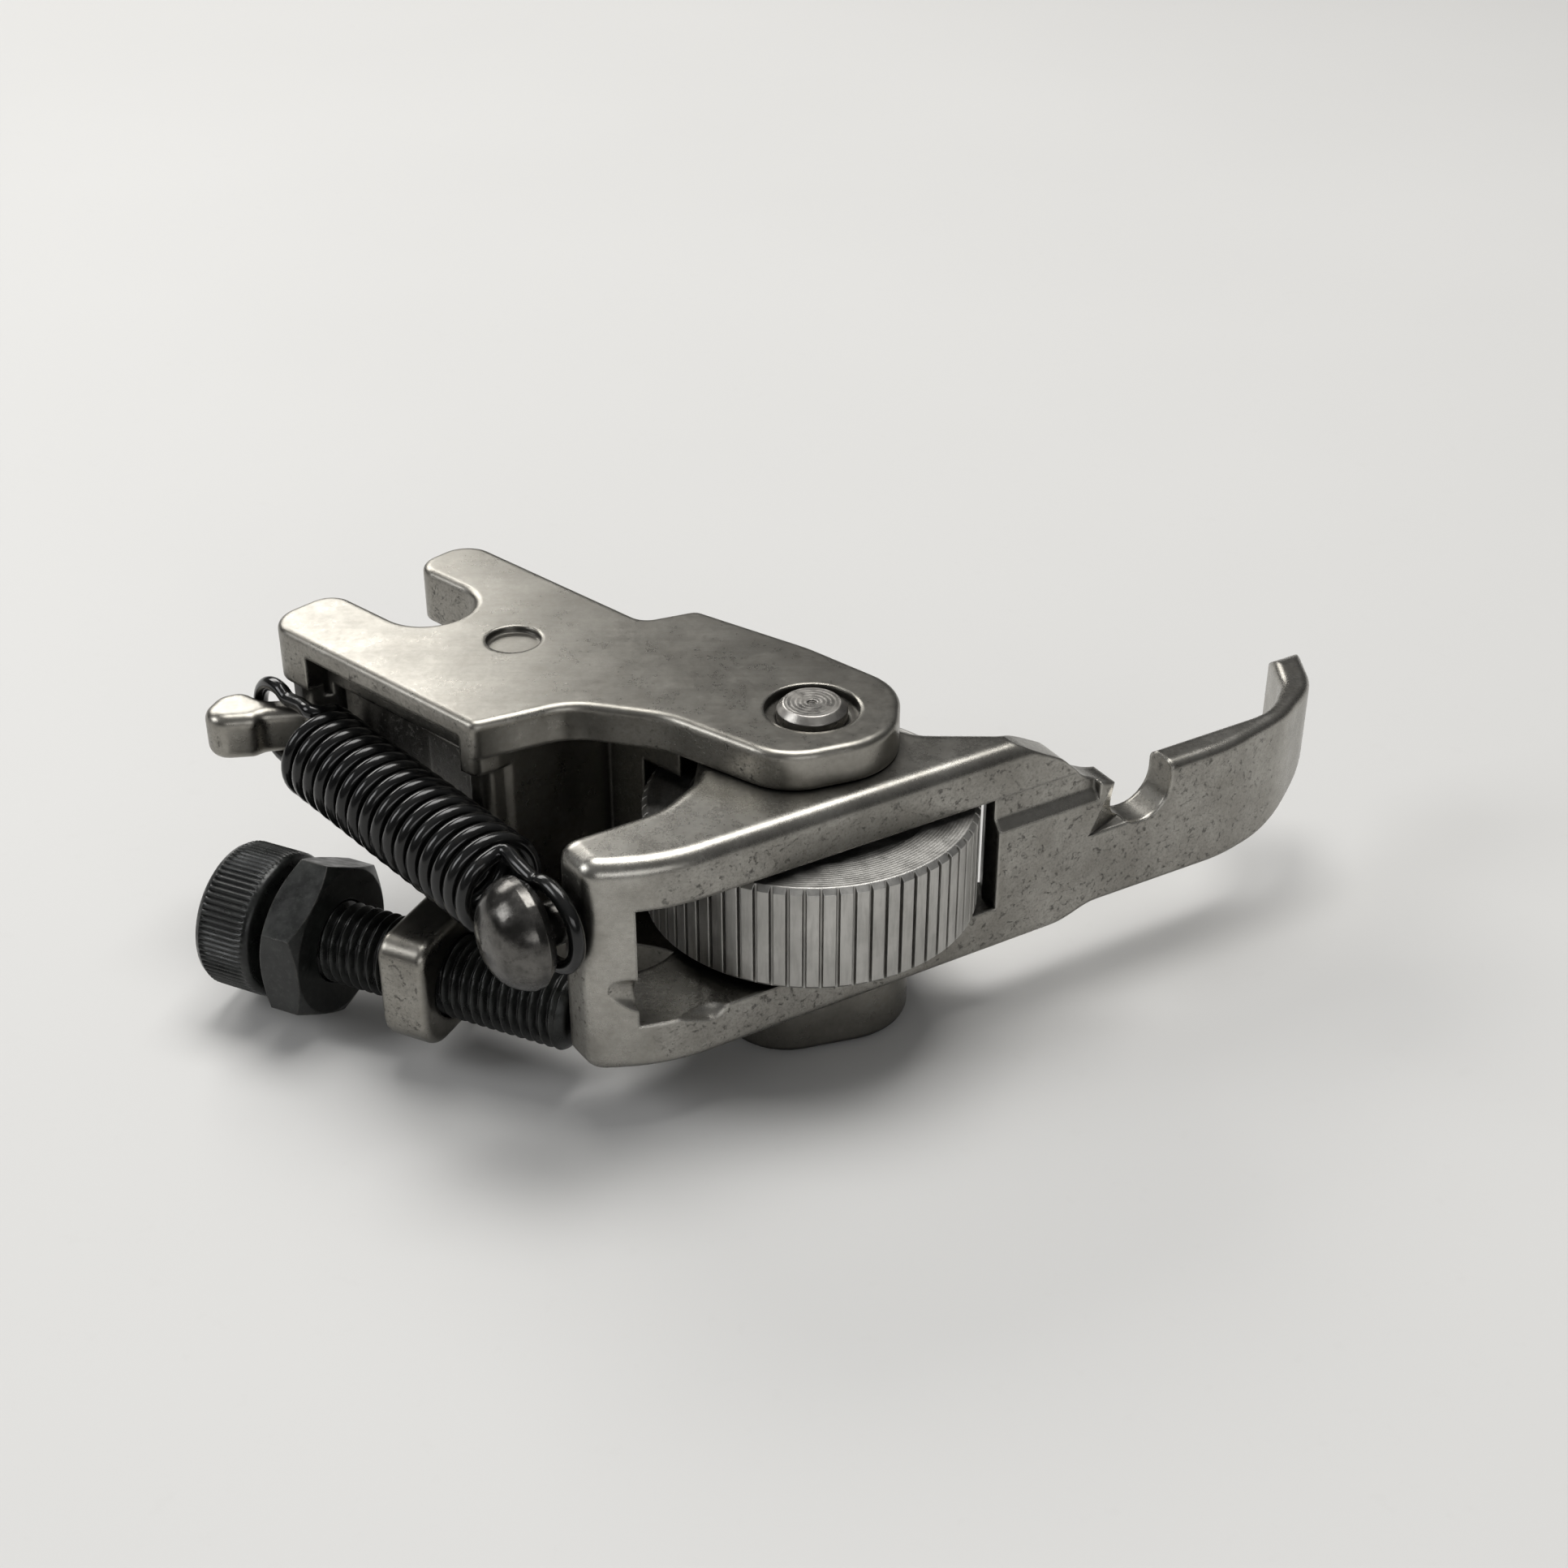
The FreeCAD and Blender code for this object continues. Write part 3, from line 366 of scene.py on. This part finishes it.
# CAD pieces that keep their mesh: piece, slot, material
LOOKS = (
    ("shank_holder", "holder_steel", holder_steel()),
    ("foot_sole", "foot_steel", foot_steel()),
    ("knurled_roller", "roller_steel", roller_steel()),
    ("pivot_pin", "pin_steel", pin_steel()),
    ("hex_lock_nut", "black_nut",
     black_oxide("black_oxide_nut", rough=0.33, edge_radius=0.12, wear=0.35)),
    ("heel_spring_post", "dark_post", dark_polished()),
)
for piece_name, slot_name, look in LOOKS:
    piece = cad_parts[piece_name]
    piece.data.materials.clear()
    piece.data.materials.append(look)
    for face in piece.data.polygons:
        face.material_index = 0


# ---------------------------------------------------------------- mesh helpers
def add_mesh(name, verts, faces, material):
    mesh = bpy.data.meshes.new(name)
    mesh.from_pydata(verts, [], faces)
    mesh.materials.append(material)
    item = bpy.data.objects.new(name, mesh)
    bpy.context.scene.collection.objects.link(item)
    return item


def skin(name, rings, material):
    """Smooth skin over equal rings given in mm; a ring of one point closes the skin."""
    verts, faces, index = [], [], []
    count = max(len(ring) for ring in rings)
    for ring in rings:
        index.append(range(len(verts), len(verts) + len(ring)))
        verts.extend(tuple(point * MM) for point in ring)
    for here, after in zip(index, index[1:]):
        for i in range(count):
            j = (i + 1) % count
            if len(here) == 1:
                faces.append((here[0], after[j], after[i]))
            elif len(after) == 1:
                faces.append((here[i], here[j], after[0]))
            else:
                faces.append((here[i], here[j], after[j], after[i]))
    item = add_mesh(name, verts, faces, material)
    bm = bmesh.new()
    bm.from_mesh(item.data)
    bmesh.ops.recalc_face_normals(bm, faces=bm.faces)
    bm.to_mesh(item.data)
    bm.free()
    for face in item.data.polygons:
        face.use_smooth = True
    return item


def catmull(points, steps):
    """Catmull-Rom curve through the points."""
    curve = []
    last = len(points) - 1
    for i in range(last):
        before, here = points[max(i - 1, 0)], points[i]
        after, beyond = points[i + 1], points[min(i + 2, last)]
        for step in range(steps):
            t = step / steps
            curve.append(0.5 * ((2 * here) + (after - before) * t
                                + (2 * before - 5 * here + 4 * after - beyond) * t * t
                                + (3 * here - before - 3 * after + beyond) * t ** 3))
    curve.append(points[-1])
    return curve


# ---------------------------------------------------------------- tension spring
SPRING_Z = 2.1
HORN_ANGLE = math.radians(187.0)            # way the holder's horn points
HORN_REACH = 2.15                           # horn's root to the spring's end
HORN_ROOT = turned(HOLDER_TURN, -22.6, -9.75, SPRING_Z)
HOLDER_END = HORN_ROOT + Vector((math.cos(HORN_ANGLE), math.sin(HORN_ANGLE), 0)) * HORN_REACH
FOOT_END = turned(FOOT_TURN, -14.3, -2.25, SPRING_Z)
SPRING_LENGTH = (FOOT_END - HOLDER_END).length
SPRING_AXIS = (FOOT_END - HOLDER_END).normalized()
SPRING_SIDE = Vector((-SPRING_AXIS.y, SPRING_AXIS.x, 0))

COIL_R, COIL_PITCH, TURNS = 1.98, 0.97, 16
WIRE_R = 0.72 / 2
HOOK_R = 1.95
COIL_START = (SPRING_LENGTH - COIL_PITCH * TURNS) / 2
COIL_STEPS = 8                              # control points in one turn
CURVE_STEPS = 5                             # path points between control points
WIRE_SIDES = 16
WIRE_TIP = ((0.86, 0.16), (0.55, 0.27), (0.0, 0.31))    # scale of ring, rise / wire radius


def spring_point(along, side, height):
    return HOLDER_END + SPRING_AXIS * along + SPRING_SIDE * side + UP * height


def helix_point(step):
    angle = 2 * math.pi * step / COIL_STEPS
    along = COIL_START + COIL_PITCH * step / COIL_STEPS
    return spring_point(along, COIL_R * math.sin(angle), COIL_R * math.cos(angle))


def hook_points():
    """(along, height) from the hook's free end to the lead into the first turn."""
    points = []
    for i in range(13):
        angle = math.radians(-60.0 - 240.0 * i / 12.0)
        points.append((math.cos(angle) * HOOK_R, math.sin(angle) * HOOK_R))
    lead = COIL_START - HOOK_R * 0.5
    points.append((HOOK_R * 0.5 + lead * 0.5, (HOOK_R * 0.87 + COIL_R) / 2 + 0.05))
    return points


def wire_path():
    hook = hook_points()
    head = [spring_point(along, 0.0, height) for along, height in hook]
    coil = [helix_point(i) for i in range(TURNS * COIL_STEPS + 1)]
    tail = [spring_point(SPRING_LENGTH - along, 0.0, height) for along, height in reversed(hook)]
    path = catmull(head + coil + tail, CURVE_STEPS)
    # Even the coil out onto its true helix
    first = len(head) * CURVE_STEPS
    last = (len(head) + len(coil) - 1) * CURVE_STEPS
    for i in range(first + 3, last - 2):
        path[i] = helix_point((i - first) / CURVE_STEPS)
    return path


def wire_tip(ring, centre, outward):
    """Rings and end point that round off a cut end of the wire."""
    *steps, (_, end_rise) = WIRE_TIP
    tip = [[centre + (point - centre) * scale + outward * (WIRE_R * rise) for point in ring]
           for scale, rise in steps]
    return tip + [[centre + outward * (WIRE_R * end_rise)]]


def build_spring():
    path = wire_path()
    rings = []
    across = SPRING_SIDE.copy()
    for i, centre in enumerate(path):
        tangent = (path[min(i + 1, len(path) - 1)] - path[max(i - 1, 0)]).normalized()
        # Carry the ring's first axis along the wire without twist
        across = (across - tangent * across.dot(tangent)).normalized()
        other = tangent.cross(across)
        ring = []
        for side in range(WIRE_SIDES):
            angle = 2 * math.pi * side / WIRE_SIDES
            ring.append(centre + (across * math.cos(angle) + other * math.sin(angle)) * WIRE_R)
        rings.append(ring)
    head_tip = wire_tip(rings[0], path[0], (path[0] - path[1]).normalized())
    tail_tip = wire_tip(rings[-1], path[-1], (path[-1] - path[-2]).normalized())
    return skin("spring_coil", head_tip[::-1] + rings + tail_tip, oiled_spring())


spring = build_spring()
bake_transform(spring)
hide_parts("tension_spring")

# ---------------------------------------------------------------- adjusting screw
# Along the screw's frame, from the outer face of the head to the tip
HEAD_START, SCREW_TIP = -25.05, -6.41
SCREW_ACROSS, SCREW_Z = -10.47, -4.4
SCREW_SIDE = direction(SCREW_TURN, 0, 1)
HEAD_R, HEAD_LENGTH = 3.5, 3.1
HEAD_END = HEAD_START + HEAD_LENGTH
ROD_R = 1.93
THREAD_PITCH, THREAD_DEPTH = 0.5, 0.29
THREAD_RINGS = 10                           # rings in one pitch
SCREW_SIDES = 288
KNURL_TEETH = 72
KNURL_DEPTH, KNURL_RUNOUT = 0.13, 0.02      # full depth, and depth where it fades out
KNURL_START, KNURL_MARGINS, KNURL_STEPS = 0.52, 1.0, 8
SOCKET_DEPTH, SOCKET_WIDTH = 2.0, 3.0       # width across flats

# Socket, from its floor outwards: depth below the head's face, scale of the hexagon
SOCKET_RINGS = ((1.95, 0.5), (1.85, 0.97), (1.70, 1.0), (0.9, 1.0), (0.18, 1.0))
# Outer face and its rounded rim: distance from the face, radius
FACE_RINGS = ((0.01, 1.86), (0.0, 2.0), (0.0, 2.7), (0.015, 3.02), (0.07, 3.2),
              (0.17, 3.34), (0.32, 3.42))
# Inner rim and underside of the head: distance before the head's end, radius
UNDERSIDE_RINGS = ((0.22, 3.44), (0.08, 3.36), (0.01, 3.22), (0.0, 3.1), (0.0, 2.25),
                   (0.0, ROD_R - 0.02))
# Rounded tip: distance before the tip, radius
TIP_RINGS = ((0.40, 1.80), (0.25, 1.70), (0.10, 1.58), (0.02, 1.48), (0.0, 1.38), (0.0, 0.7))


def screw_centre(along):
    return turned(SCREW_TURN, along, SCREW_ACROSS, SCREW_Z)


def screw_ring(along, radius):
    """Ring round the screw; radius is a number or a function of the angle."""
    centre = screw_centre(along)
    ring = []
    for i in range(SCREW_SIDES):
        angle = 2 * math.pi * i / SCREW_SIDES
        reach = radius(angle) if callable(radius) else radius
        ring.append(centre + SCREW_SIDE * (reach * math.cos(angle))
                    + UP * (reach * math.sin(angle)))
    return ring


def hexagon(scale=1.0, least=0.0):
    def radius(angle):
        off_flat = (angle % (math.pi / 3)) - math.pi / 6
        return max(SOCKET_WIDTH / 2 / math.cos(off_flat) * scale, least)
    return radius


def knurl(depth):
    def radius(angle):
        phase = (angle * KNURL_TEETH / (2 * math.pi)) % 1.0
        groove = max(0.0, (abs(phase - 0.5) * 2 - 0.35) / 0.65)
        return HEAD_R - 0.02 - depth * groove
    return radius


def thread(along):
    """Thread section, deepening after the head and shallower towards the tip."""
    fade_in = min(1.0, max(0.0, (along - (HEAD_END + 0.35)) / 0.5))
    fade_out = min(1.0, max(0.0, (SCREW_TIP - 0.15 - along) / 0.5))
    depth = THREAD_DEPTH * fade_in * (0.35 + 0.65 * fade_out)

    def radius(angle):
        phase = (along / THREAD_PITCH - angle / (2 * math.pi)) % 1.0
        from_crest = abs(phase - 0.5) * 2       # 0 at the crest, 1 at the root
        return ROD_R - 0.01 - depth * min(1.0, max(0.0, (from_crest - 0.14) / 0.72))
    return radius


def head_rings():
    stations = [(depth, hexagon(scale)) for depth, scale in SOCKET_RINGS]
    stations.append((0.05, hexagon(least=1.66)))
    stations += FACE_RINGS
    stations.append((0.42, knurl(KNURL_RUNOUT)))
    for i in range(KNURL_STEPS + 1):
        length = (HEAD_LENGTH - KNURL_MARGINS) * i / KNURL_STEPS
        stations.append((KNURL_START + length, knurl(KNURL_DEPTH)))
    stations.append((HEAD_LENGTH - 0.36, knurl(KNURL_RUNOUT)))
    stations += [(HEAD_LENGTH - back, radius) for back, radius in UNDERSIDE_RINGS]
    return [screw_ring(HEAD_START + offset, radius) for offset, radius in stations]


def build_screw():
    rings = [[screw_centre(HEAD_START + SOCKET_DEPTH)]] + head_rings()
    along = HEAD_END + 0.05
    while along < SCREW_TIP - 0.42:
        rings.append(screw_ring(along, thread(along)))
        along += THREAD_PITCH / THREAD_RINGS
    rings += [screw_ring(SCREW_TIP - back, radius) for back, radius in TIP_RINGS]
    rings.append([screw_centre(SCREW_TIP)])
    look = black_oxide("black_oxide_screw", rough=0.30, edge_radius=0.05, wear=0.18)
    return skin("screw_threaded", rings, look)


screw = build_screw()
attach(screw, "stop_screw")
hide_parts("adjusting_screw")
screw.data.set_sharp_from_angle(angle=math.radians(38))


# ---------------------------------------------------------------- table, in metres
TABLE_HALF, TABLE_CELLS = 1.5, 12
TABLE_GAP = 0.00003                         # clearance under the lowest piece


def build_table():
    row = TABLE_CELLS + 1
    ticks = [-TABLE_HALF + 2 * TABLE_HALF * i / TABLE_CELLS for i in range(row)]
    verts = [(x, y, CAD_LO.z - TABLE_GAP) for y in ticks for x in ticks]
    faces = [(j * row + i, j * row + i + 1, (j + 1) * row + i + 1, (j + 1) * row + i)
             for j in range(TABLE_CELLS) for i in range(TABLE_CELLS)]
    return add_mesh("table_top", verts, faces, pale_table())


build_table()

# ---------------------------------------------------------------- light, in metres
scene = bpy.context.scene


def build_world():
    """Grey surround, brighter overhead."""
    world = bpy.data.worlds.new("studio")
    scene.world = world
    world.use_nodes = True
    tree = world.node_tree
    tree.nodes.clear()
    view = add_node(tree, "TexCoord").outputs["Generated"]
    height = add_node(tree, "SeparateXYZ", {0: view}).outputs["Z"]
    level = add_node(tree, "MapRange", {"Value": height, "From Min": -0.1, "From Max": 1.0})
    ramp = add_node(tree, "ValToRGB", {0: level.outputs[0]})
    stops = ramp.color_ramp.elements
    stops[0].position, stops[0].color = 0.0, (0.34, 0.335, 0.33, 1)
    stops[1].position, stops[1].color = 1.0, (1.0, 1.0, 1.0, 1)
    for position, grey in ((0.35, 0.30), (0.62, 0.62)):
        stops.new(position).color = (grey, grey, grey, 1)
    background = add_node(tree, "Background", {"Color": ramp.outputs[0], "Strength": 0.28})
    add_node(tree, "OutputWorld", {"Surface": background.outputs[0]})


def area(name, place, size, power, target=(0, 0, 0), colour=(1, 1, 1)):
    light = bpy.data.lights.new(name, "AREA")
    light.shape = "RECTANGLE"
    light.size, light.size_y = size
    light.energy = power
    light.color = colour
    lamp = bpy.data.objects.new(name, light)
    lamp.location = place
    aim = Vector(target) - Vector(place)
    lamp.rotation_euler = aim.to_track_quat("-Z", "Y").to_euler()
    scene.collection.objects.link(lamp)


build_world()
area("key", place=(0.03, 0.12, 0.44), size=(0.30, 0.24), power=1.65, colour=(1.0, 0.99, 0.97))
area("back", place=(-0.24, 0.40, 0.27), target=(-0.01, 0, 0), size=(0.34, 0.16), power=1.0,
     colour=(1.0, 0.985, 0.955))
area("left", place=(-0.36, -0.06, 0.24), size=(0.18, 0.18), power=0.52,
     colour=(0.98, 0.99, 1.0))
area("front", place=(0.12, -0.42, 0.17), size=(0.34, 0.12), power=0.30)

# ---------------------------------------------------------------- camera
lens = bpy.data.cameras.new("camera")
lens.lens = 54.04
lens.sensor_width = 36.0
lens.clip_start = 0.001
lens.clip_end = 20.0
camera = bpy.data.objects.new("camera", lens)
camera.location = (-0.001241, -0.090530, 0.059189)
camera.rotation_euler = (math.radians(58.3), 0, 0)
scene.collection.objects.link(camera)
scene.camera = camera
scene.view_settings.view_transform = "Standard"
scene.view_settings.look = "None"
scene.view_settings.exposure = 0.0
